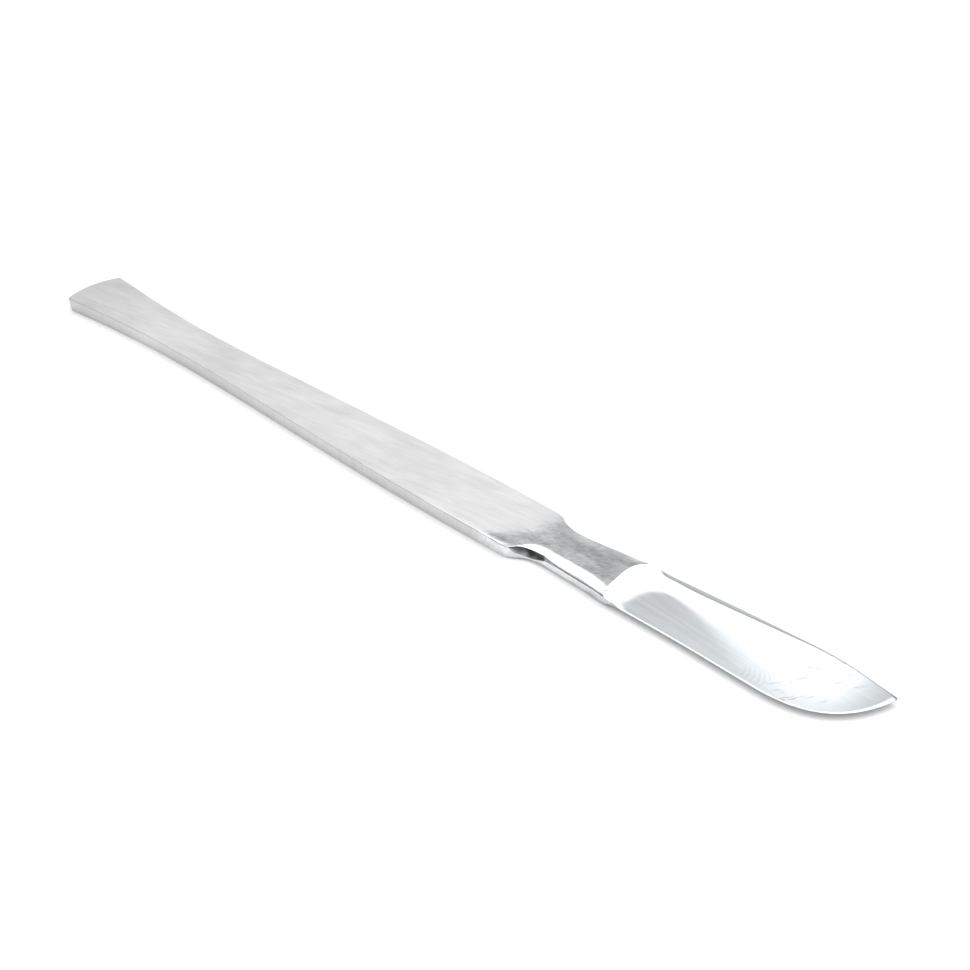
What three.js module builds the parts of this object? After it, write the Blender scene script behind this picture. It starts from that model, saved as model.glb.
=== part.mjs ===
// One-piece steel dissecting and modelling knife with a flared spatula end.
// Millimetres, +Z up, lying on the flat underside of its handle. The blade's tip points to +X,
// the blade's back (spine) lies on the +Y side and its cutting edge on the -Y side.
//
// The real tool is one forged and ground blank, so it is one mesh: a loft between two rails,
// the outline of the cutting-edge side and the outline of the spine side. Each section runs
// from one rail to the other and is the same above and below the middle plane.
import * as THREE from "three";
import { LoftGeometry } from "three/addons/geometries/LoftGeometry.js";

// Overall sizes.
const OVERALL_LENGTH = 164.1;
const HANDLE_THICKNESS = 1.85;
const NECK_THICKNESS = 1.75;
const MIDDLE_Z = HANDLE_THICKNESS / 2;

// Handle outline: half widths either side of the handle's centre line.
const SPATULA_HALF_WIDTH = 5.15;
const WAIST_HALF_WIDTH = 3.8;
const WAIST_X = 22;
const SHOULDER_HALF_WIDTH = 5.95;

// Where the neck starts, its edges lie this far from the handle's centre line.
const EDGE_NECK_OFFSET = 3.9;
const SPINE_NECK_OFFSET = 4.35;

// Spatula end: its end edge bows out past the corners, and its end face leans in underneath.
const END_CORNER_X = 1.2;
const END_BOW = 1.0;
const END_SKEW = 0.35;
const END_UNDERCUT = 0.9;
const END_BLEND_LENGTH = 8;

// Where the outline changes, from the spatula end. The shoulders were ground by eye, so the one
// on the cutting-edge side sits a little further along than the one on the spine side.
const SPINE_SHOULDER_X = 99.5;
const EDGE_SHOULDER_X = 100.6;
const SHOULDER_LENGTH = 7;
const PLUNGE_X = 118;
const HEEL_X = 121.2;
const BELLY_X = 150.3;

// Blade.
const HEEL_Y = -4.62;
const BELLY_Y = -5.25;
const SPINE_PEAK_X = 152;
const SPINE_PEAK_Y = 8.0;
const TIP_Y = 6.75;
const SPINE_AT_PLUNGE = 1.5;
const SPINE_AT_BELLY = 1.25;
const SPINE_AT_TIP = 0.5;
const CUTTING_EDGE_THICKNESS = 0.12;
const HOLLOW_SHARE = 0.7; // how much of the blade's taper is hollow ground instead of straight

// Edges broken by the polishing wheel.
const HANDLE_EDGE_RADIUS = 0.15;
const SHOULDER_EDGE_RADIUS = 0.7;
const NECK_EDGE_RADIUS = 0.4;
const NECK_CROWN = 0.05;
const BACK_TURN = 1.1; // width of the soft turn along the blade's back
const BACK_TURN_SLOPE = 0.3;

// Fineness of the mesh.
const COLUMNS = 12;
const ROWS = { handle: 26, shoulder: 10, neck: 5, plunge: 4, blade: 10, belly: 14 };

const v2 = (x, y) => new THREE.Vector2(x, y);
const { lerp, smoothstep } = THREE.MathUtils;

// Both rails have one curve for each stretch in ROWS, in the same order.
function handleOutline(side, cornerX, shoulderX, neckOffset) {
  return new THREE.Path()
    .moveTo(cornerX, side * SPATULA_HALF_WIDTH)
    .splineThru([
      v2(4.5, side * 4.9),
      v2(11, side * 4.3),
      v2(WAIST_X, side * WAIST_HALF_WIDTH),
      v2(36, side * 4.0),
      v2(60, side * 5.05),
      v2(80, side * 5.78),
      v2(shoulderX, side * SHOULDER_HALF_WIDTH),
    ])
    .bezierCurveTo(
      shoulderX + 3.1,
      side * SHOULDER_HALF_WIDTH,
      shoulderX + 2.1,
      side * neckOffset,
      shoulderX + SHOULDER_LENGTH,
      side * neckOffset,
    );
}

const edgeRail = handleOutline(-1, END_CORNER_X, EDGE_SHOULDER_X, EDGE_NECK_OFFSET)
  .lineTo(PLUNGE_X + 0.6, -4.4)
  .splineThru([v2(PLUNGE_X + 2.1, -4.52), v2(HEEL_X, HEEL_Y)])
  .splineThru([v2(134, -4.72), v2(143, -5.02), v2(BELLY_X, BELLY_Y)])
  .bezierCurveTo(BELLY_X + 10.2, BELLY_Y, OVERALL_LENGTH - 0.7, -0.5, OVERALL_LENGTH, TIP_Y);

const spineRail = handleOutline(1, END_CORNER_X, SPINE_SHOULDER_X, SPINE_NECK_OFFSET)
  .bezierCurveTo(110, SPINE_NECK_OFFSET + 0.15, 114, 5.35, PLUNGE_X - 0.2, 5.8)
  .lineTo(PLUNGE_X + 0.5, 5.87)
  .bezierCurveTo(124, 6.55, 136, 7.2, 145, 7.65)
  .bezierCurveTo(SPINE_PEAK_X, SPINE_PEAK_Y + 0.2, SPINE_PEAK_X + 5.5, SPINE_PEAK_Y, OVERALL_LENGTH, TIP_Y);

// Half thickness near an edge rounded to a radius: the side wall starts a radius below the face.
function roundedEdge(half, distance, radius) {
  const inside = Math.min(distance, radius);
  return half - radius + Math.sqrt(radius ** 2 - (radius - inside) ** 2);
}

function handleHalfThickness(distance) {
  return roundedEdge(HANDLE_THICKNESS / 2, distance, HANDLE_EDGE_RADIUS);
}

function neckHalfThickness(across, distance, radius) {
  const crowned = NECK_THICKNESS / 2 - NECK_CROWN * (2 * across - 1) ** 2;
  return roundedEdge(crowned, distance, radius);
}

// The face is ground from the spine down to the cutting edge; across runs from edge to spine.
// Along the spine it turns softly over to the back.
function bladeHalfThickness(across, distance, spineThickness) {
  const ground = (1 - HOLLOW_SHARE) * across + HOLLOW_SHARE * across ** 2;
  const face = lerp(CUTTING_EDGE_THICKNESS, spineThickness, ground) / 2;
  const turn = BACK_TURN * (spineThickness / SPINE_AT_PLUNGE) ** 2;
  const inside = across < 0.5 ? 1 : Math.min(1, distance / turn);
  return face - (BACK_TURN_SLOPE / 2) * turn * (1 - inside) ** 2;
}

const halfThickness = {
  handle: (t, across, distance) => handleHalfThickness(distance),
  shoulder(t, across, distance) {
    const radius = lerp(HANDLE_EDGE_RADIUS, SHOULDER_EDGE_RADIUS, smoothstep(t, 0.1, 0.7));
    const neck = neckHalfThickness(across, distance, radius);
    return lerp(handleHalfThickness(distance), neck, smoothstep(t, 0, 1));
  },
  neck(t, across, distance) {
    const radius = lerp(SHOULDER_EDGE_RADIUS, NECK_EDGE_RADIUS, smoothstep(t, 0, 0.5));
    return neckHalfThickness(across, distance, radius);
  },
  plunge(t, across, distance) {
    const neck = neckHalfThickness(across, distance, NECK_EDGE_RADIUS);
    return lerp(neck, bladeHalfThickness(across, distance, SPINE_AT_PLUNGE), smoothstep(t, 0, 1));
  },
  blade(t, across, distance) {
    return bladeHalfThickness(across, distance, lerp(SPINE_AT_PLUNGE, SPINE_AT_BELLY, t));
  },
  belly(t, across, distance) {
    return bladeHalfThickness(across, distance, lerp(SPINE_AT_BELLY, SPINE_AT_TIP, t));
  },
};

// The end edge of the spatula bows out and leans in underneath; both fade out along the handle.
function endShift(x, across, z) {
  const fade = Math.max(0, 1 - (x - END_CORNER_X) / END_BLEND_LENGTH) ** 2;
  const bow = END_BOW * (1 - (2 * across - 1) ** 2) + END_SKEW * across;
  return fade * (END_UNDERCUT * (1 - z / HANDLE_THICKNESS) - bow);
}

// One closed ring of points: below from the cutting edge to the spine, and back over the top.
function section(stretch, t, edgePoint, spinePoint) {
  const width = edgePoint.distanceTo(spinePoint);
  const top = [];
  const bottom = [];
  for (let column = 0; column <= COLUMNS; column++) {
    const across = (1 - Math.cos((Math.PI * column) / COLUMNS)) / 2;
    const distance = width * Math.min(across, 1 - across);
    const half = halfThickness[stretch](t, across, distance);
    const place = edgePoint.clone().lerp(spinePoint, across);
    for (const [list, z] of [[top, MIDDLE_Z + half], [bottom, MIDDLE_Z - half]]) {
      list.push(new THREE.Vector3(place.x + endShift(place.x, across, z), place.y, z));
    }
  }
  return [...bottom, ...top.reverse()];
}

const TIP_STOP = 0.985; // the last section stands this far along the belly, so the tip has a small flat

function sections() {
  const all = [];
  Object.entries(ROWS).forEach(([stretch, rows], index) => {
    const first = index === 0 ? 0 : 1;
    const reach = stretch === "belly" ? TIP_STOP : 1;
    for (let row = first; row <= rows; row++) {
      const t = (reach * row) / rows;
      all.push(
        section(stretch, t, edgeRail.curves[index].getPoint(t), spineRail.curves[index].getPoint(t)),
      );
    }
  });
  return all;
}

const steel = new THREE.MeshStandardMaterial({ color: 0xc4c6c8, roughness: 0.3, metalness: 1 });

function knifeAndSpatula() {
  const geometry = new LoftGeometry(sections(), { capStart: true, capEnd: true });
  const mesh = new THREE.Mesh(geometry, steel);
  mesh.name = "knife_and_spatula";
  return mesh;
}

// The part's origin is the middle of its footprint, on the surface that it rests on.
const knife = new THREE.Group();
knife.add(knifeAndSpatula());
const box = new THREE.Box3().setFromObject(knife);
const middle = box.getCenter(new THREE.Vector3());
knife.children[0].position.set(-middle.x, -middle.y, -box.min.z);

export default knife;
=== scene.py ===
"""Blender looks of a one-piece steel dissecting and modelling knife with a spatula end.

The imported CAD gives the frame. The knife's fine surface is one smooth mesh over the CAD node's own
outline: a satin handle with broken edges, the wheel-cut cove at the near shoulder, a polished neck
with a rolled facet, the grinding wheel's run-out at the plunge, the ground blade with its sharpening
bevel, and its turned-down back.
"""

import math

import bpy
import numpy as np
from mathutils import Matrix, Vector


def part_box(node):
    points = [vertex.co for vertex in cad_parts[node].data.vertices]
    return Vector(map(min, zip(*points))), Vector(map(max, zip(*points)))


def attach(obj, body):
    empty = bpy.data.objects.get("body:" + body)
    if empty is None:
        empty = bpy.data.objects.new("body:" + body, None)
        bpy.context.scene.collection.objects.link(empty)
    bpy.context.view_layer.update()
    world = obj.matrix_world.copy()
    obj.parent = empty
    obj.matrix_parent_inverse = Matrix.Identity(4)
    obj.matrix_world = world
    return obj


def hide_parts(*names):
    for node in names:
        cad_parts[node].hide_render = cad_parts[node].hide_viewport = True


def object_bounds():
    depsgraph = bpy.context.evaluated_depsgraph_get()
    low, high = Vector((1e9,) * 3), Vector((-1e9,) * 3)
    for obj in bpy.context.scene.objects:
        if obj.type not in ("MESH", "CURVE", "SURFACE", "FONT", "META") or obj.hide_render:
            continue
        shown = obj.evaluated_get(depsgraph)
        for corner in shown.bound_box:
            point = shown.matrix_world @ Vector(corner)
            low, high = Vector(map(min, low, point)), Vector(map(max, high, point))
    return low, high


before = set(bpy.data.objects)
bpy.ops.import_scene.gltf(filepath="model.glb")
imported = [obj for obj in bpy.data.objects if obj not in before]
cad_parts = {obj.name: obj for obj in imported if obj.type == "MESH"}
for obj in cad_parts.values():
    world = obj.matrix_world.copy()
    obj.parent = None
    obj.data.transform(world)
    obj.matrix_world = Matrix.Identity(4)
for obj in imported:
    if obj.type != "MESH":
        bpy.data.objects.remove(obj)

NODE = "knife_and_spatula"
MM = 0.001
CAD_LOW, CAD_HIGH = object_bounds()

# ---------------------------------------------------------------- the CAD outline, in millimetres
# Measured from the spatula end, with +X to the blade's tip and +Y to the blade's back.
OVERALL_LENGTH = 164.1
HANDLE_THICKNESS = 1.85
NECK_THICKNESS = 1.75
MIDDLE_Z = HANDLE_THICKNESS / 2

SPATULA_HALF_WIDTH = 5.15
WAIST_HALF_WIDTH = 3.8
WAIST_X = 22
SHOULDER_HALF_WIDTH = 5.95
EDGE_NECK_OFFSET = 3.9
SPINE_NECK_OFFSET = 4.35

END_CORNER_X = 1.2
END_BOW = 1.0
END_SKEW = 0.35
END_UNDERCUT = 0.9
END_BLEND_LENGTH = 8

SPINE_SHOULDER_X = 99.5
EDGE_SHOULDER_X = 100.6
SHOULDER_LENGTH = 7
PLUNGE_X = 118
HEEL_X, HEEL_Y = 121.2, -4.62
BELLY_X, BELLY_Y = 150.3, -5.25
SPINE_PEAK_X, SPINE_PEAK_Y = 152, 8.0
TIP_Y = 6.75
TIP_STOP = 0.985

SPINE_AT_PLUNGE = 1.5
SPINE_AT_TIP = 0.6

# ---------------------------------------------------------------- the fine surface, in millimetres
COLUMNS = 72  # across each face
WALL_ROWS = 4  # up each side wall
CREASE_COLUMN = 16  # this column of the mesh follows the crease on the cutting-edge side

# Edges of the handle and the neck.
HANDLE_EDGE_WIDTH, HANDLE_EDGE_DROP = 0.08, 0.06
BROKEN_EDGE_WIDTH, BROKEN_EDGE_DROP = 0.1, 0.09
END_EDGE_WIDTH, END_EDGE_DROP = 0.1, 0.07
BUFFED_EDGE_WIDTH, BUFFED_EDGE_DROP = 1.0, 0.05  # the handle's near edge, buffed just before the shoulder

# The neck: a rolled facet along its near side, a turned-over near edge and a soft turn at its far edge.
NECK_CROWN = 0.002
ROLL_SLOPE = math.radians(5.3)
ROLL_SOFTNESS = 0.12
ROLL_OVER_WIDTH, ROLL_OVER_DROP = 0.9, 0.11
FAR_SLOPE = math.radians(4.2)
FAR_TURN_WIDTH, FAR_TURN_SOFTNESS = 1.6, 0.3

# The blade: its sharpening bevel, the flatter part of its face beside the bevel, and its back.
CUTTING_EDGE = 0.07
BEVEL_WIDTH = 0.2
BEVEL_SLOPE = math.radians(10)
FACE_SLOPE = math.radians(1.25)
BACK_TURN_SLOPE = 0.18
BACK_TURN_AT_PLUNGE, BACK_TURN_AT_TIP = 1.8, 0.35

# How far the blade's ground face runs out past the plunge, from the cutting edge to the back.
RUN_OUT = [
    (-4.7, 4.4),
    (-4.3, 5.2),
    (-3.9, 5.2),
    (-3.3, 4.8),
    (-2.5, 4.7),
    (-1.3, 5.1),
    (0, 5.7),
    (1.7, 7.0),
    (2.9, 8.8),
    (6, 10),
]
NECK_END_X = 112  # the run-out cuts nothing before this

# The wheel-cut cove at the near shoulder: places along the knife, and its width and depth there.
COVE_X = [102.2, 102.8, 103.5, 104.6, 105.6, 106.6, 107.6, 108.6, 110]
COVE_WIDTH = list(zip(COVE_X, [0, 0.45, 0.62, 0.62, 0.6, 0.52, 0.4, 0.28, 0.2]))
COVE_DEPTH = list(zip(COVE_X, [0, 0.5, 0.75, 0.98, 1.06, 0.92, 0.66, 0.36, 0]))
COVE_SHARE_BELOW = 0.1  # the lower face has only a trace of the cove

# Where the ground face of the blade starts, from the back of the blade to its heel.
PLUNGE_LINE = [
    (119.0, 6.0),
    (117.9, 4.6),
    (117.6, 3.3),
    (117.95, 1.2),
    (118.7, -1.2),
    (119.2, -2.6),
    (119.5, -3.5),
    (119.6, -4.62),
]
# Where the neck's flat panel gives way to the rolled facet, from the shoulder to the plunge.
ROLL_LINE = [
    (101.9, -6.0),
    (102.8, -4.9),
    (103.5, -3.7),
    (104.2, -2.75),
    (105.1, -2.2),
    (106.4, -2.0),
    (110.4, -2.0),
    (116.0, -2.1),
    (119.0, -2.85),
]
# How far the mesh's crease lies inside the near edge: the cove's, the neck's, then the bevel's.
CREASE_DISTANCE = [
    *COVE_WIDTH[1:6],
    (107.6, 0.45),
    (118.5, 0.5),
    (121, BEVEL_WIDTH),
]


# ---------------------------------------------------------------- curves
def bezier(points, t):
    a, b, c, d = (np.array(p, float) for p in points)
    t = t[:, None]
    return (1 - t) ** 3 * a + 3 * (1 - t) ** 2 * t * b + 3 * (1 - t) * t**2 * c + t**3 * d


def spline(points, t):
    """Uniform Catmull-Rom curve through the points, as three.js draws it."""
    p = np.array(points, float)
    last = len(p) - 1
    start = np.minimum((t * last).astype(int), last - 1)
    w = (t * last - start)[:, None]
    p0, p1 = p[np.maximum(start - 1, 0)], p[start]
    p2, p3 = p[start + 1], p[np.minimum(start + 2, last)]
    v1, v2 = (p2 - p0) / 2, (p3 - p1) / 2
    return (2 * p1 - 2 * p2 + v1 + v2) * w**3 + (3 * p2 - 3 * p1 - 2 * v1 - v2) * w**2 + v1 * w + p1


def smooth(value, low, high):
    t = np.clip((value - low) / (high - low), 0, 1)
    return t * t * (3 - 2 * t)


def lerp(a, b, t):
    return a + (b - a) * t


DENSE = np.linspace(0, 1, 1200)


def handle_outline(side, shoulder_x, neck_offset):
    """The handle's outline and one shoulder, as dense points."""
    handle = spline(
        [
            (END_CORNER_X, side * SPATULA_HALF_WIDTH),
            (4.5, side * 4.9),
            (11, side * 4.3),
            (WAIST_X, side * WAIST_HALF_WIDTH),
            (36, side * 4.0),
            (60, side * 5.05),
            (80, side * 5.78),
            (shoulder_x, side * SHOULDER_HALF_WIDTH),
        ],
        DENSE,
    )
    neck_x = shoulder_x + SHOULDER_LENGTH
    shoulder = bezier(
        [
            (shoulder_x, side * SHOULDER_HALF_WIDTH),
            (shoulder_x + 3.1, side * SHOULDER_HALF_WIDTH),
            (shoulder_x + 2.1, side * neck_offset),
            (neck_x, side * neck_offset),
        ],
        DENSE,
    )
    return [handle, shoulder[1:]]


BELLY_EDGE = [
    (BELLY_X, BELLY_Y),
    (BELLY_X + 10.2, BELLY_Y),
    (OVERALL_LENGTH - 0.7, -0.5),
    (OVERALL_LENGTH, TIP_Y),
]
BELLY_SPINE_X, BELLY_SPINE_Y = 145, 7.65
BELLY_SPINE = [
    (BELLY_SPINE_X, BELLY_SPINE_Y),
    (SPINE_PEAK_X, SPINE_PEAK_Y + 0.2),
    (SPINE_PEAK_X + 5.5, SPINE_PEAK_Y),
    (OVERALL_LENGTH, TIP_Y),
]


def edge_rail():
    parts = handle_outline(-1, EDGE_SHOULDER_X, EDGE_NECK_OFFSET)
    heel = [(PLUNGE_X + 0.6, -4.4), (PLUNGE_X + 2.1, -4.52), (HEEL_X, HEEL_Y)]
    blade = [(HEEL_X, HEEL_Y), (134, -4.72), (143, -5.02), (BELLY_X, BELLY_Y)]
    parts += [spline(heel, DENSE), spline(blade, DENSE)[1:]]
    return np.concatenate(parts)


def spine_rail():
    parts = handle_outline(1, SPINE_SHOULDER_X, SPINE_NECK_OFFSET)
    start = (SPINE_SHOULDER_X + SHOULDER_LENGTH, SPINE_NECK_OFFSET)
    neck = [start, (110, SPINE_NECK_OFFSET + 0.15), (114, 5.35), (PLUNGE_X - 0.2, 5.8)]
    blade = [(PLUNGE_X + 0.5, 5.87), (124, 6.55), (136, 7.2), (BELLY_SPINE_X, BELLY_SPINE_Y)]
    parts += [bezier(neck, DENSE)[1:], bezier(blade, DENSE)]
    return np.concatenate(parts)


EDGE_RAIL, SPINE_RAIL = edge_rail(), spine_rail()


def on_rail(rail, x):
    return np.stack([x, np.interp(x, rail[:, 0], rail[:, 1])], axis=1)


def line_y_at(points, x):
    """y of a plan line at x, where the line runs along the knife."""
    curve = spline(points, DENSE)
    return np.interp(x, curve[:, 0], curve[:, 1])


def plunge_x_at(y):
    curve = spline(PLUNGE_LINE, DENSE)[::-1]
    return np.interp(y, curve[:, 1], curve[:, 0])


# ---------------------------------------------------------------- rows of the mesh
PLUNGE_ROW_X = 121.0  # where the row that is bent to the plunge line starts, on the cutting-edge side
BENT_ROWS = 42  # on each side of that row, more and more gently

# Each stretch's start on the cutting-edge side and on the back's side, and its rows. They lie closest
# together at the spatula's rounded end, on the shoulders and at the plunge.
STRETCHES = [
    (END_CORNER_X, END_CORNER_X, 8),
    (END_CORNER_X + 0.3, END_CORNER_X + 0.3, 23),
    (END_CORNER_X + 4, END_CORNER_X + 4, 209),
    (96, 95, 119),
    (110, 108, 89),
    (PLUNGE_ROW_X, 117.4, 44),
    (126, 122.5, 74),
    (BELLY_X, BELLY_SPINE_X, 72),
]


def row_pairs():
    """Where each row of the mesh starts on the cutting-edge side and ends on the back's side."""
    edge, spine = [], []
    for (edge_start, spine_start, rows), (edge_end, spine_end, _) in zip(STRETCHES, STRETCHES[1:]):
        edge.append(on_rail(EDGE_RAIL, np.linspace(edge_start, edge_end, rows, endpoint=False)))
        spine.append(on_rail(SPINE_RAIL, np.linspace(spine_start, spine_end, rows, endpoint=False)))
    belly = TIP_STOP * np.linspace(0, 1, STRETCHES[-1][2])
    edge.append(bezier(BELLY_EDGE, belly))
    spine.append(bezier(BELLY_SPINE, belly))
    return np.concatenate(edge), np.concatenate(spine)


def slant(rail_points):
    """Cosine of a rail's angle to the knife's axis at each row.

    It turns a distance across the knife into one square to the edge.
    """
    step = np.gradient(rail_points, axis=0)
    return np.abs(step[:, 0]) / np.maximum(np.hypot(step[:, 0], step[:, 1]), 1e-9)


class Plan:
    """The grid of one face in plan: where each point lies, and how far it is from each edge."""

    def __init__(self):
        edge, spine = row_pairs()
        self.across = self.shares_across(edge, spine)
        grid = edge[:, None, :] + self.across[..., None] * (spine - edge)[:, None, :]
        self.x, self.y = grid[..., 0], grid[..., 1]
        self.bend_rows_to_plunge()
        width = np.hypot(*(spine - edge).T)[:, None]
        self.near = width * self.across * slant(edge)[:, None]
        self.far = width * (1 - self.across) * slant(spine)[:, None]
        self.width = width
        self.back_x = spine[:, 0][:, None]
        self.end = self.x - END_CORNER_X

    @staticmethod
    def shares_across(edge, spine):
        """Columns close together by both edges, with one of them on the crease."""
        even = (1 - np.cos(np.linspace(0, math.pi, COLUMNS + 1))) / 2
        usual = even[CREASE_COLUMN]
        near_width = np.maximum(np.hypot(*(spine - edge).T) * slant(edge), 1e-6)
        inside = np.interp(edge[:, 0], *zip(*CREASE_DISTANCE))
        crease = np.minimum(inside / near_width, 0.3)
        rows = [np.interp(even, [0, usual, 0.5, 1], [0, share, 0.5, 1]) for share in crease]
        return np.array(rows)

    def bend_rows_to_plunge(self):
        """Rows near the plunge follow its line, so that its crease is one clean row of the mesh."""
        row = int(np.argmin(np.abs(self.x[:, 0] - PLUNGE_ROW_X)))
        shift = plunge_x_at(self.y[row]) - self.x[row]
        rows = np.arange(len(self.x))[:, None]
        fade = 1 - smooth(np.abs(rows - row) / BENT_ROWS, 0.05, 1)
        self.x = self.x + fade * shift[None, :]


# ---------------------------------------------------------------- heights above the middle plane
def rounding(distance, width, depth):
    """How far an elliptical rounding lowers a face at a distance from its edge."""
    inside = np.clip(distance / width, 0, 1)
    return depth * (1 - np.sqrt(np.maximum(0, 1 - (1 - inside) ** 2)))


def soft_past(distance, limit, soft):
    """How far a distance falls short of a limit, with a soft start."""
    return soft * np.logaddexp(0, (limit - distance) / soft)


def cove_drop(p):
    """How far the wheel-cut cove lowers the face: steepest at the near edge."""
    width = np.maximum(line_y_at(COVE_WIDTH, p.x), 0.01)
    depth = np.maximum(line_y_at(COVE_DEPTH, p.x), 0)
    inside = np.clip(1 - p.near / width, 0, 1)
    return depth * (0.6 * inside + 0.4 * inside**2.2)


def near_edge(p, cove_share):
    """How far the face drops at the cutting-edge side of the handle and the neck."""
    handle = rounding(p.near, HANDLE_EDGE_WIDTH, HANDLE_EDGE_DROP)
    neck = rounding(p.near, BROKEN_EDGE_WIDTH, BROKEN_EDGE_DROP)
    broken = lerp(handle, neck, smooth(p.x, 98, 104))  # over the shoulder
    by_shoulder = smooth(p.x, 78, 98) * (1 - smooth(p.x, 100.5, 102.5))
    buffed = BUFFED_EDGE_DROP * by_shoulder * np.clip(1 - p.near / BUFFED_EDGE_WIDTH, 0, 1) ** 2
    turned = np.clip(1 - p.near / ROLL_OVER_WIDTH, 0, 1) ** 2
    return broken + buffed + cove_share * cove_drop(p) + ROLL_OVER_DROP * smooth(p.x, 104, 108) * turned


def neck_turn(p):
    """How far the neck turns down along its far edge."""
    place = smooth(p.x, 98, 109) * (1 - smooth(p.x, 115, 118.6))
    return math.tan(FAR_SLOPE) * soft_past(p.far, FAR_TURN_WIDTH, FAR_TURN_SOFTNESS) * place


def back_turn(p):
    """How far the ground face turns down along the blade's back."""
    width = lerp(BACK_TURN_AT_PLUNGE, BACK_TURN_AT_TIP, smooth(p.x, 122, 156))
    inside = np.clip(1 - p.far / width, 0, 1)
    return BACK_TURN_SLOPE * width * inside**2 * smooth(p.x, 118.8, 122.5)


def body_half(p):
    return lerp(HANDLE_THICKNESS, NECK_THICKNESS, smooth(p.x, 99, 107)) / 2


def panel_half(p):
    """The handle's and the neck's face without its edges: flat, and crowned a little on the neck."""
    return body_half(p) - NECK_CROWN * smooth(p.x, 100, 106) * np.minimum(p.y - 1.0, 0) ** 2


def neck_half(p, cove_share):
    """Half thickness of the handle and the neck, less the rolled facet, the near edge and the end."""
    roll = math.tan(ROLL_SLOPE) * soft_past(p.y, line_y_at(ROLL_LINE, p.x), ROLL_SOFTNESS)
    end = rounding(p.end, END_EDGE_WIDTH, END_EDGE_DROP)
    return panel_half(p) - roll - near_edge(p, cove_share) - end


def spine_thickness(p):
    """The back thins slowly at first and faster towards the tip."""
    along = np.clip((p.back_x - PLUNGE_X) / (OVERALL_LENGTH - PLUNGE_X), 0, 1)
    return lerp(SPINE_AT_PLUNGE, SPINE_AT_TIP, along**2)


def blade_half(p):
    """Half thickness of the ground blade.

    From the edge it has the sharpening bevel, a nearly flat part, and a steeper part at the back. The
    flatter part is widest by the plunge and runs out along the blade.
    """
    bevel_width = np.minimum(BEVEL_WIDTH, 0.2 * p.width)
    foot = CUTTING_EDGE / 2 + bevel_width * math.tan(BEVEL_SLOPE)
    face_width = np.maximum(p.width - bevel_width, 1e-6)
    along = np.clip((p.near - bevel_width) / face_width, 0, 1)
    flat = 0.64 * (1 - smooth(p.x, 124, 150))
    turn = 0.25 + 0.2 * smooth(p.x, 126, 150)

    def steepening(share):
        past = np.maximum(share - flat, 0)
        return np.where(past < turn, past**2 / (2 * turn), past - turn / 2)

    rise = (spine_thickness(p) / 2 - foot) / face_width
    gentle = np.minimum(math.tan(FACE_SLOPE), 0.75 * rise)
    face = foot + face_width * (gentle * along + (rise - gentle) * steepening(along) / steepening(1.0))
    bevel = CUTTING_EDGE / 2 + p.near * math.tan(BEVEL_SLOPE)
    return np.where(p.near < bevel_width, bevel, face)


def face_height(p, cove_share):
    """Half thickness of the whole knife at each plan point. The wheel's run-out cuts into the neck."""
    neck = neck_half(p, cove_share)
    blade = blade_half(p)
    ahead = np.clip(1 - (p.x - plunge_x_at(p.y)) / line_y_at(RUN_OUT, p.y), 0, 2)
    ground = blade + (panel_half(p) - blade) * ahead**3 - back_turn(p)
    softness = lerp(0.02, 0.003, smooth(p.y, -2.5, 1))  # of the crease, which is crisp towards the back
    cut = -softness * np.logaddexp(-neck / softness, -ground / softness)
    far_edge = neck_turn(p) + rounding(p.far, BROKEN_EDGE_WIDTH, BROKEN_EDGE_DROP)
    return np.where(p.x < NECK_END_X, neck, cut) - far_edge


def end_shift(x, across, z):
    fade = np.maximum(0, 1 - (x - END_CORNER_X) / END_BLEND_LENGTH) ** 2
    bow = END_BOW * (1 - (2 * across - 1) ** 2) + END_SKEW * across
    return fade * (END_UNDERCUT * (1 - z / HANDLE_THICKNESS) - bow)


# ---------------------------------------------------------------- mesh
# Each ring's places: over the upper face from the cutting edge to the back, down the back, home
# underneath, and up the cutting edge's side wall.
FACE_PLACES = COLUMNS + 1
WALL_PLACES = WALL_ROWS - 1
BACK_START = FACE_PLACES
UNDER_START = BACK_START + WALL_PLACES
EDGE_START = UNDER_START + FACE_PLACES


def ring_grid():
    p = Plan()
    upper = face_height(p, cove_share=1.0)
    lower = face_height(p, cove_share=COVE_SHARE_BELOW)
    rings = []
    for z, order in ((MIDDLE_Z + upper, 1), (MIDDLE_Z - lower, -1)):
        points = np.stack([p.x + end_shift(p.x, p.across, z), p.y, z], axis=-1)
        rings.append(points[:, ::order])
    over, under = rings
    steps = np.linspace(0, 1, WALL_ROWS + 1)[1:-1]
    back_wall = np.stack([lerp(over[:, -1], under[:, 0], s) for s in steps], axis=1)
    edge_wall = np.stack([lerp(under[:, -1], over[:, 0], s) for s in steps], axis=1)
    return np.concatenate([over, back_wall, under, edge_wall], axis=1)


def end_faces(base, flip):
    """Faces that close the first or the last ring, whose points start at number base."""
    over = [base + c for c in range(FACE_PLACES)]
    back = [base + BACK_START + c for c in range(WALL_PLACES)]
    under = [base + UNDER_START + c for c in range(FACE_PLACES)][::-1]
    edge = [base + EDGE_START + c for c in range(WALL_PLACES)][::-1]
    faces = [(over[c], under[c], under[c + 1], over[c + 1]) for c in range(COLUMNS)]
    faces.append((over[0], *edge, under[0]))
    faces.append((over[-1], *back, under[-1])[::-1])
    return [face[::-1] for face in faces] if flip else faces


def knife_mesh(grid):
    rows, around, _ = grid.shape
    faces = []
    for r in range(rows - 1):
        for c in range(around):
            n = (c + 1) % around
            faces.append((r * around + c, r * around + n, (r + 1) * around + n, (r + 1) * around + c))
    faces += end_faces(0, flip=False)
    faces += end_faces((rows - 1) * around, flip=True)
    mesh = bpy.data.meshes.new("knife_surface")
    mesh.from_pydata(grid.reshape(-1, 3).tolist(), [], faces)
    mesh.update()
    return mesh


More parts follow.
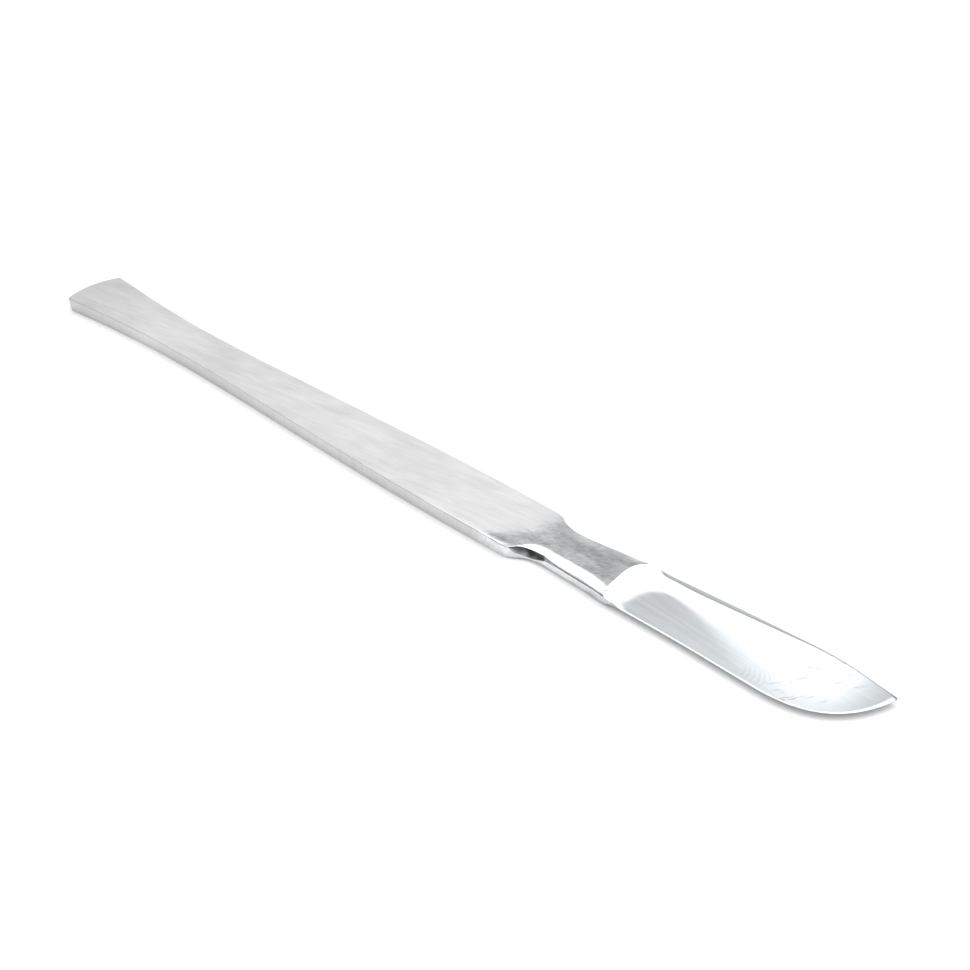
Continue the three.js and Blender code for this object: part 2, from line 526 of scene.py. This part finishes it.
def fit_to_frame(mesh):
    """Millimetres to metres, with the mesh's own box laid on the CAD node's box."""
    count = len(mesh.vertices)
    co = np.empty(count * 3)
    mesh.vertices.foreach_get("co", co)
    co = co.reshape(-1, 3)
    low, high = co.min(0), co.max(0)
    cad_low, cad_high = (np.array(corner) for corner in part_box(NODE))
    co = cad_low + (co - low) / (high - low) * (cad_high - cad_low)
    mesh.vertices.foreach_set("co", co.ravel())
    mesh.update()


def sharpen_creases(mesh, grid):
    """The cove's upper border and the top of the bevel on both faces are crisp."""
    upper_crease = CREASE_COLUMN
    lower_crease = UNDER_START + COLUMNS - CREASE_COLUMN
    ends = np.empty(2 * len(mesh.edges), int)
    mesh.edges.foreach_get("vertices", ends)
    ends = ends.reshape(-1, 2)
    place = ends % grid.shape[1]
    x = grid.reshape(-1, 3)[ends[:, 0], 0]
    by_cove = (x > 102.6) & (x < 106.6) & (place[:, 0] == upper_crease)
    on_crease = (place[:, 0] == place[:, 1]) & np.isin(place[:, 0], [upper_crease, lower_crease])
    sharp = mesh.attributes.new("sharp_edge", "BOOLEAN", "EDGE")
    sharp.data.foreach_set("value", on_crease & (by_cove | (x > 120.5)))


def make_knife():
    grid = ring_grid()
    mesh = knife_mesh(grid)
    fit_to_frame(mesh)
    mesh.shade_smooth()
    sharpen_creases(mesh, grid)
    mesh.materials.append(steel_material())
    paint_finish(mesh, grid)
    knife = bpy.data.objects.new("knife_and_spatula_steel", mesh)
    bpy.context.scene.collection.objects.link(knife)
    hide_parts(NODE)
    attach(knife, "root")
    return knife


# ---------------------------------------------------------------- material
class Nodes:
    """Short calls for building a node tree."""

    def __init__(self, tree):
        self.tree = tree

    def new(self, kind, **values):
        node = self.tree.nodes.new(kind)
        for name, value in values.items():
            setattr(node, name, value)
        return node

    def put(self, socket, value):
        if isinstance(value, bpy.types.NodeSocket):
            self.tree.links.new(value, socket)
        else:
            socket.default_value = value

    def math(self, operation, *values):
        node = self.new("ShaderNodeMath", operation=operation)
        for socket, value in zip(node.inputs, values):
            self.put(socket, value)
        return node.outputs[0]

    def sum(self, *values):
        total = values[0]
        for value in values[1:]:
            total = self.math("ADD", total, value)
        return total

    def times(self, factor, value):
        return self.math("MULTIPLY", value, factor)

    def attribute(self, name):
        return self.new("ShaderNodeAttribute", attribute_name=name).outputs["Fac"]

    def grain(self, length, width, turn=0.0, detail=2.0, distortion=0.0):
        """Noise in streaks: length and width in millimetres, turned by degrees from the knife's axis."""
        place = self.new("ShaderNodeMapping", vector_type="TEXTURE")
        self.tree.links.new(self.new("ShaderNodeTexCoord").outputs["Object"], place.inputs["Vector"])
        place.inputs["Rotation"].default_value = (0, 0, math.radians(turn))
        place.inputs["Scale"].default_value = (length * MM, width * MM, width * MM)
        noise = self.new("ShaderNodeTexNoise")
        self.tree.links.new(place.outputs[0], noise.inputs["Vector"])
        noise.inputs["Scale"].default_value = 1
        noise.inputs["Detail"].default_value = detail
        noise.inputs["Distortion"].default_value = distortion
        return noise.outputs["Fac"]

    def curve(self, value, points):
        """A number that follows the points (value, result), with straight lines between them."""
        result = points[0][1]
        for (low, start), (high, end) in zip(points, points[1:]):
            step = self.ramp(value, low, high, 0.0, end - start, kind="LINEAR")
            result = self.math("ADD", step, result)
        return result

    def blend(self, share, colour_a, colour_b):
        """Two fixed colours mixed by share."""
        node = self.new("ShaderNodeMix", data_type="RGBA")
        self.put(node.inputs[0], share)
        node.inputs["A"].default_value = (*colour_a, 1)
        node.inputs["B"].default_value = (*colour_b, 1)
        return node.outputs["Result"]

    def tint(self, tone, colour):
        """The colour times a number."""
        node = self.new("ShaderNodeVectorMath", operation="SCALE")
        self.put(node.inputs[0], colour)
        self.put(node.inputs["Scale"], tone)
        return node.outputs[0]

    def ramp(self, value, low, high, start=0.0, end=1.0, kind="SMOOTHSTEP"):
        node = self.new("ShaderNodeMapRange", interpolation_type=kind, clamp=True)
        for socket, item in zip(node.inputs, (value, low, high, start, end)):
            self.put(socket, item)
        return node.outputs[0]

    def background(self, brightness):
        node = self.new("ShaderNodeBackground")
        self.put(node.inputs["Strength"], brightness)
        return node.outputs[0]

    def mix_shaders(self, share, a, b):
        node = self.new("ShaderNodeMixShader")
        for socket, item in zip(node.inputs, (share, a, b)):
            self.put(socket, item)
        return node.outputs[0]

    def mix(self, share, a, b):
        """Numbers a and b mixed by share."""
        node = self.new("ShaderNodeMix", data_type="FLOAT")
        for socket, item in zip(node.inputs[:4], (share, None, a, b)):
            if item is not None:
                self.put(socket, item)
        return node.outputs[0]


# Where the satin finish gives way to the polished neck, from the cutting edge's side to the back's.
POLISH_BORDER_Y = [-5.9, -3.6, -1.1, 0.5, 5.5]
POLISH_BORDER_X = [96.5, 98.5, 100.6, 101.2, 101.2]


def paint_finish(mesh, grid):
    """Numbers on each point for the material: where it is, and which finish it has."""
    x, y, _ = grid.reshape(-1, 3).T
    border = np.interp(y, POLISH_BORDER_Y, POLISH_BORDER_X)
    rows, around, _ = grid.shape
    place = np.arange(around)
    back_wall = (place >= BACK_START - 1) & (place <= UNDER_START)
    edge_wall = (place >= EDGE_START - 1) | (place == 0)
    numbers = {
        "along": x,  # millimetres from the spatula end
        "side": y,  # millimetres from the handle's centre line, towards the blade's back
        "polish": smooth(x - border, -2.0, 2.2),  # 0 on the satin handle, 1 past it
        "ground": smooth(x - plunge_x_at(y), -0.2, 0.2),  # 1 on the blade
        "wall": np.tile(back_wall | edge_wall, rows),  # 1 on the side walls
    }
    for name, values in numbers.items():
        layer = mesh.attributes.new(name, "FLOAT", "POINT")
        layer.data.foreach_set("value", values.astype(np.float32))


SATIN_COLOUR = (0.63, 0.63, 0.632)
GROUND_COLOUR = (0.61, 0.64, 0.665)
# Tone of the satin finish along the handle: millimetres from the spatula end, and a factor.
HANDLE_TONE = [
    (0, 0.84),
    (12, 0.96),
    (20, 1.04),
    (31, 0.93),
    (42, 0.97),
    (57, 1.0),
    (75, 0.97),
    (92, 1.0),
    (104, 0.94),
]
BUMP_DEPTH = 0.005 * MM


def steel_material():
    """Stainless steel: brushed and blotchy on the handle, buffed on the neck, ground on the blade."""
    material = bpy.data.materials.new("stainless_steel")
    material.use_nodes = True
    tree = material.node_tree
    shader = tree.nodes["Principled BSDF"]
    n = Nodes(tree)
    along, side = n.attribute("along"), n.attribute("side")
    polish, ground, wall = (n.attribute(name) for name in ("polish", "ground", "wall"))
    hair = n.grain(3.0, 0.2, turn=12, detail=3)
    strokes = n.grain(9.0, 0.8, turn=6, detail=3)
    scratches = n.ramp(n.grain(6.0, 0.3, turn=13, detail=1), 0.58, 0.7)
    blotches = n.grain(5.0, 2.6, turn=12, detail=6)
    cross_grind = n.grain(0.5, 5.0, detail=2)
    swirls = n.grain(1.6, 0.7, turn=35, detail=4, distortion=1.5)
    buffing = n.ramp(n.grain(6.0, 2.0, turn=-4, detail=3), 0.36, 0.6)
    streaks = n.grain(10.0, 0.4, turn=-3, detail=3)
    chatter = chatter_marks(n, along, side)
    # painted shade of a small pit beside the plunge, a dark spot in the colour
    pit_shade = pit_shade_spot(n, along, side)
    # faint darker patches near the tip
    dark_patches = tip_dark_patches(n, along)

    brushed = n.sum(n.times(0.24, hair), n.times(0.2, strokes), n.times(0.04, scratches))
    top_tone = n.sum(0.64, brushed, n.times(0.24, blotches))
    wall_tone = n.sum(0.77, n.times(0.16, cross_grind), n.times(0.24, blotches))
    satin_tone = n.math("MULTIPLY", n.mix(wall, top_tone, wall_tone), n.curve(along, HANDLE_TONE))
    neck_tone = n.sum(0.46, n.times(0.75, swirls), n.times(0.3, buffing), n.times(0.06, hair))
    blade_tone = n.sum(0.86, n.times(0.1, streaks), n.times(0.06, blotches), n.times(-0.07, chatter))
    tone = n.mix(polish, satin_tone, n.mix(ground, neck_tone, blade_tone))
    # darker at the pit's painted shade and in faint patches near the tip
    tone = n.math("MULTIPLY", tone, n.sum(1.0, n.times(-0.7, pit_shade), n.times(-0.3, dark_patches)))
    blueness = n.times(0.5, n.sum(polish, ground))
    n.put(shader.inputs["Base Color"], n.tint(tone, n.blend(blueness, SATIN_COLOUR, GROUND_COLOUR)))
    shader.inputs["Metallic"].default_value = 1

    satin_roughness = n.sum(0.27, n.times(0.1, blotches), n.times(0.05, strokes))
    neck_roughness = n.sum(0.06, n.times(0.12, swirls))
    blade_roughness = n.sum(0.11, n.times(0.05, streaks))
    polished_roughness = n.mix(ground, neck_roughness, blade_roughness)
    n.put(shader.inputs["Roughness"], n.mix(polish, satin_roughness, polished_roughness))

    satin_relief = n.sum(hair, n.times(0.8, scratches), n.times(0.6, strokes))
    polished_relief = n.sum(n.times(0.15, swirls), n.times(0.12, streaks), n.times(0.15, chatter))
    bump = n.new("ShaderNodeBump")
    bump.inputs["Strength"].default_value = 1.0
    bump.inputs["Distance"].default_value = BUMP_DEPTH
    n.put(bump.inputs["Height"], n.mix(polish, satin_relief, polished_relief))
    n.put(shader.inputs["Normal"], bump.outputs[0])
    return material


CHATTER_PITCH = 0.9  # millimetres from one ripple to the next
CHATTER_BOW = 0.22
# Where the pit's painted shade lies, and its size.
PIT_X, PIT_Y = 119.6, -3.55
PIT_CORE_RADIUS, PIT_RADIUS = 0.1, 0.24


def chatter_marks(n, along, side):
    """Short curved ripples left by the wheel in the middle of the blade, near its cutting edge."""
    in_place = n.math("MULTIPLY", n.ramp(along, 144.5, 146), n.ramp(along, 149, 150.5, 1.0, 0.0))
    off_edge = n.math("MULTIPLY", n.ramp(side, -4.7, -4.2), n.ramp(side, -2.2, -0.6, 1.0, 0.0))
    bow = n.times(CHATTER_BOW, n.math("POWER", n.sum(side, 4.5), 2.0))
    wave = n.math("SINE", n.times(2 * math.pi / CHATTER_PITCH, n.sum(along, bow)))
    return n.math("MULTIPLY", n.math("MULTIPLY", in_place, off_edge), n.ramp(wave, -0.2, 1.0))


def pit_shade_spot(n, along, side):
    """Painted shade of one small pit beside the plunge: a dark spot in the colour, as the mesh has no
    pit.
    """
    x, y = n.sum(along, -PIT_X), n.sum(side, -PIT_Y)
    distance = n.math("SQRT", n.sum(n.math("POWER", x, 2.0), n.math("POWER", y, 2.0)))
    return n.ramp(distance, PIT_CORE_RADIUS, PIT_RADIUS, 1.0, 0.0)


def tip_dark_patches(n, along):
    """Faint darker patches and fine strokes on the polished blade near its tip."""
    patches = n.ramp(n.grain(3.4, 1.5, turn=55, detail=2), 0.56, 0.66)
    fine_strokes = n.ramp(n.grain(1.4, 0.3, turn=70, detail=3), 0.44, 0.6)
    place = n.math("MULTIPLY", n.ramp(along, 148.5, 151), n.ramp(along, 158, 160, 1.0, 0.0))
    return n.math("MULTIPLY", n.math("MULTIPLY", patches, fine_strokes), place)


# ---------------------------------------------------------------- stage
FLOOR_SIZE = 6.0
FLOOR_GAP = 0.02 * MM  # below the knife, so that its underside and the floor don't coincide


def make_floor():
    half = FLOOR_SIZE / 2
    corners = [(-half, -half, 0), (half, -half, 0), (half, half, 0), (-half, half, 0)]
    mesh = bpy.data.meshes.new("floor")
    mesh.from_pydata(corners, [], [(0, 1, 2, 3)])
    material = bpy.data.materials.new("white_floor")
    material.use_nodes = True
    shader = material.node_tree.nodes["Principled BSDF"]
    shader.inputs["Base Color"].default_value = (0.86, 0.86, 0.86, 1)
    shader.inputs["Roughness"].default_value = 0.9
    shader.inputs["Specular IOR Level"].default_value = 0.0
    shader.inputs["Emission Color"].default_value = (1, 0.985, 0.97, 1)
    shader.inputs["Emission Strength"].default_value = 0.05
    mesh.materials.append(material)
    floor = bpy.data.objects.new("floor", mesh)
    floor.location.z = CAD_LOW.z - FLOOR_GAP
    bpy.context.scene.collection.objects.link(floor)


VIEW_AZIMUTH = math.radians(47.534)
VIEW_ELEVATION = math.radians(29.680)
VIEW_ROLL = math.radians(0.3045)
VIEW_DISTANCE = 0.57241
VIEW_AIM = Vector((0.002964, 0.004746, 0))
LENS_MM = 148.454


def make_camera():
    data = bpy.data.cameras.new("camera")
    data.lens = LENS_MM
    data.sensor_width = 36
    data.clip_start, data.clip_end = 0.01, 20
    camera = bpy.data.objects.new("camera", data)
    bpy.context.scene.collection.objects.link(camera)
    a, e = VIEW_AZIMUTH, VIEW_ELEVATION
    back = Vector((math.sin(a) * math.cos(e), -math.cos(a) * math.cos(e), math.sin(e)))
    turn = (-back).to_track_quat("-Z", "Y").to_matrix() @ Matrix.Rotation(VIEW_ROLL, 3, "Z")
    camera.matrix_world = Matrix.Translation(VIEW_AIM + back * VIEW_DISTANCE) @ turn.to_4x4()
    bpy.context.scene.camera = camera


# Brightness of the studio by elevation in degrees, in each direction: behind the knife, beside it, on
# the camera's side, and between that and the sides.
BEHIND = [(0, 1.0), (12, 1.1), (24, 1.1), (27, 0.9), (29, 0.68), (30.5, 0.72), (32, 0.8), (33.5, 0.95)]
BESIDE = [(0, 0.3), (3, 0.1), (24, 0.1), (34, 0.35)]
CAMERA_SIDE = [(0, 0.4), (6, 0.75), (24, 0.75), (34, 0.3), (55, 0.15), (85, 0.7)]
BETWEEN = [(0, 0.35), (8, 0.25), (16, 0.06), (55, 0.06), (85, 0.7)]
BOX_BRIGHTNESS, BOX_TOP_BRIGHTNESS, BOX_END_BRIGHTNESS = 3.2, 1.6, 0.25
BACKDROP_BRIGHTNESS = 1.2
EVEN_BRIGHTNESS = 1.72


def studio_light(n):
    """Brightness by direction: a big soft box from the back over the top, and a grey room around it."""
    split = n.new("ShaderNodeSeparateXYZ")
    n.put(split.inputs[0], n.new("ShaderNodeTexCoord").outputs["Generated"])
    x, y, z = split.outputs
    elevation = n.math("DEGREES", n.math("ARCSINE", z))
    level = n.math("SQRT", n.sum(n.math("MULTIPLY", x, x), n.math("MULTIPLY", y, y)))
    backward = n.sum(n.times(-math.sin(VIEW_AZIMUTH), x), n.times(math.cos(VIEW_AZIMUTH), y))
    # 1 straight behind the knife, -1 on the camera's side.
    facing = n.math("DIVIDE", backward, n.math("MAXIMUM", level, 1e-4))
    on_box = n.math("MAXIMUM", n.ramp(y, 0.1, 0.45), n.ramp(x, -0.5, -0.25))
    box = n.ramp(elevation, 65, 85, BOX_BRIGHTNESS, BOX_TOP_BRIGHTNESS)
    box = n.mix(on_box, BOX_END_BRIGHTNESS, box)
    behind = n.mix(n.ramp(elevation, 33.8, 37), n.curve(elevation, BEHIND), box)
    beside = n.mix(n.ramp(elevation, 36, 44), n.curve(elevation, BESIDE), box)
    camera_side, between = n.curve(elevation, CAMERA_SIDE), n.curve(elevation, BETWEEN)
    front = n.mix(n.ramp(facing, -0.85, -0.55), camera_side, between)
    room = n.mix(n.ramp(facing, 0.1, 0.3), beside, behind)
    return n.mix(n.ramp(facing, -0.32, -0.12), front, room)


def make_world():
    """The steel reflects the studio. The floor is lit evenly, and the backdrop is plain white."""
    world = bpy.data.worlds.new("studio")
    bpy.context.scene.world = world
    world.use_nodes = True
    tree = world.node_tree
    tree.nodes.clear()
    n = Nodes(tree)
    path = n.new("ShaderNodeLightPath")
    light = n.background(studio_light(n))
    light = n.mix_shaders(path.outputs["Is Diffuse Ray"], light, n.background(EVEN_BRIGHTNESS))
    light = n.mix_shaders(path.outputs["Is Camera Ray"], light, n.background(BACKDROP_BRIGHTNESS))
    n.put(n.new("ShaderNodeOutputWorld").inputs[0], light)


make_camera()
make_knife()
make_floor()
make_world()
bpy.context.scene.view_settings.view_transform = "Standard"
